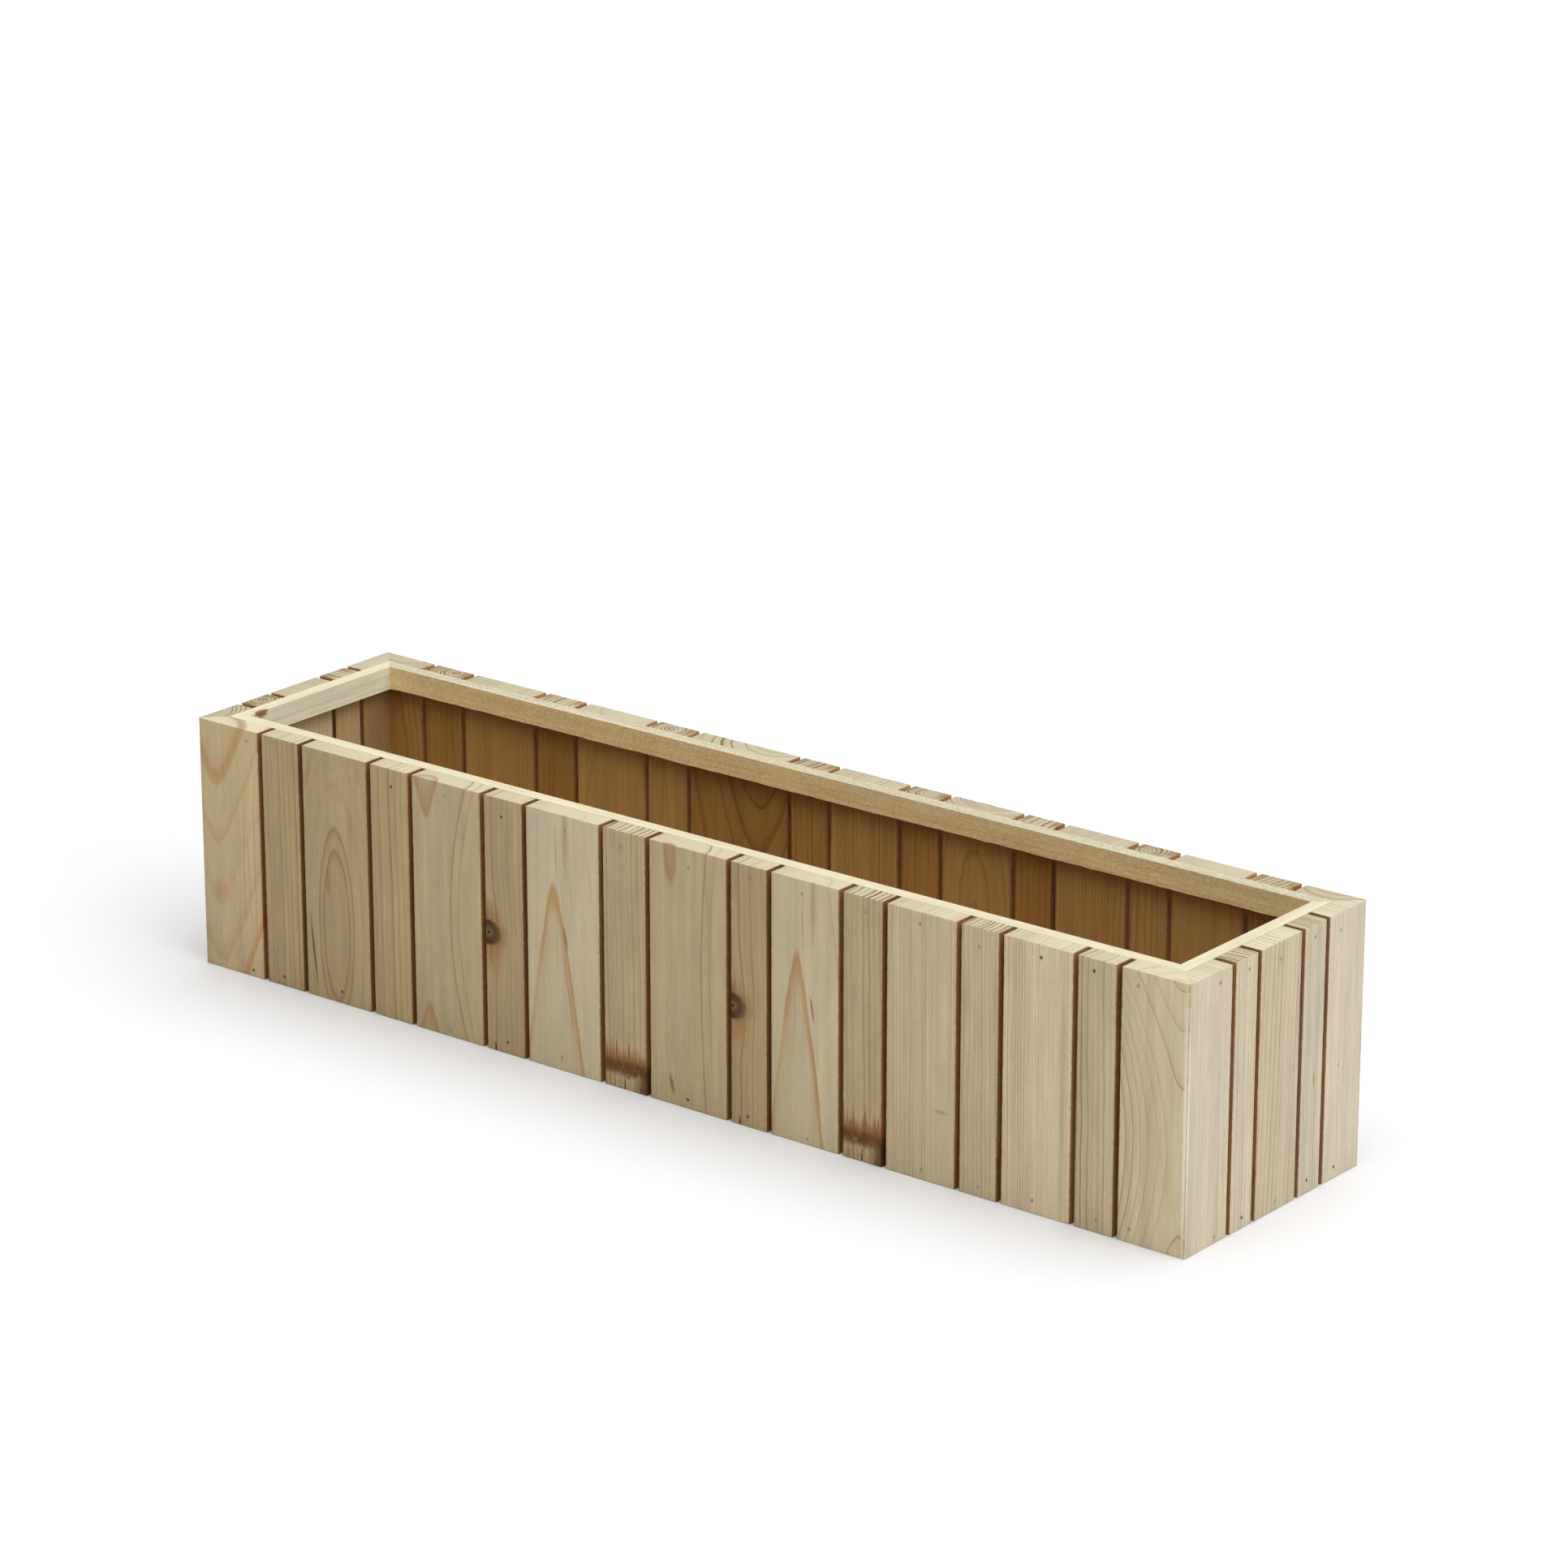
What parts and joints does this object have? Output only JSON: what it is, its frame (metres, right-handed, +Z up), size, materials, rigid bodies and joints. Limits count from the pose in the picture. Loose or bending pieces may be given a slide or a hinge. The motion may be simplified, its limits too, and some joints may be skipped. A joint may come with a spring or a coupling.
{
  "type": "window box planter",
  "caption": "Long open-topped window box planter of alternating wide and narrow upright wooden slats nailed to mitred inner battens, with a slatted drainage floor.",
  "frame": {"origin": "centre of the footprint, on the ground the box stands on", "axes": "+X along the front from left to right, -Y towards the viewer, +Z up"},
  "size_m": [1, 0.232, 0.217],
  "materials": {
    "slat_wood": "bare sawn softwood, slightly weathered",
    "rail_wood": "bare rough-sawn softwood",
    "floor_wood": "bare sawn softwood",
    "nail_steel": "dull galvanised"
  },
  "bodies": {
    "root": {"back_bottom_rail": "rail_wood", "back_slat_01": "slat_wood", "back_slat_02": "slat_wood", "back_slat_03": "slat_wood", "back_slat_04": "slat_wood", "back_slat_05": "slat_wood", "back_slat_06": "slat_wood", "back_slat_07": "slat_wood", "back_slat_08": "slat_wood", "back_slat_09": "slat_wood", "back_slat_10": "slat_wood", "back_slat_11": "slat_wood", "back_slat_12": "slat_wood", "back_slat_13": "slat_wood", "back_slat_14": "slat_wood", "back_slat_15": "slat_wood", "back_slat_16": "slat_wood", "back_slat_17": "slat_wood", "back_top_rail": "rail_wood", "bottom_nails": "nail_steel", "floor_batten_left": "floor_wood", "floor_batten_right": "floor_wood", "floor_board_1": "floor_wood", "floor_board_2": "floor_wood", "floor_board_3": "floor_wood", "floor_nails": "nail_steel", "front_bottom_rail": "rail_wood", "front_slat_01": "slat_wood", "front_slat_02": "slat_wood", "front_slat_03": "slat_wood", "front_slat_04": "slat_wood", "front_slat_05": "slat_wood", "front_slat_06": "slat_wood", "front_slat_07": "slat_wood", "front_slat_08": "slat_wood", "front_slat_09": "slat_wood", "front_slat_10": "slat_wood", "front_slat_11": "slat_wood", "front_slat_12": "slat_wood", "front_slat_13": "slat_wood", "front_slat_14": "slat_wood", "front_slat_15": "slat_wood", "front_slat_16": "slat_wood", "front_slat_17": "slat_wood", "front_top_rail": "rail_wood", "left_bottom_rail": "rail_wood", "left_slat_1": "slat_wood", "left_slat_2": "slat_wood", "left_slat_3": "slat_wood", "left_slat_4": "slat_wood", "left_slat_5": "slat_wood", "left_top_rail": "rail_wood", "right_bottom_rail": "rail_wood", "right_slat_1": "slat_wood", "right_slat_2": "slat_wood", "right_slat_3": "slat_wood", "right_slat_4": "slat_wood", "right_slat_5": "slat_wood", "right_top_rail": "rail_wood", "top_nails": "nail_steel"}
  },
  "joints": []
}
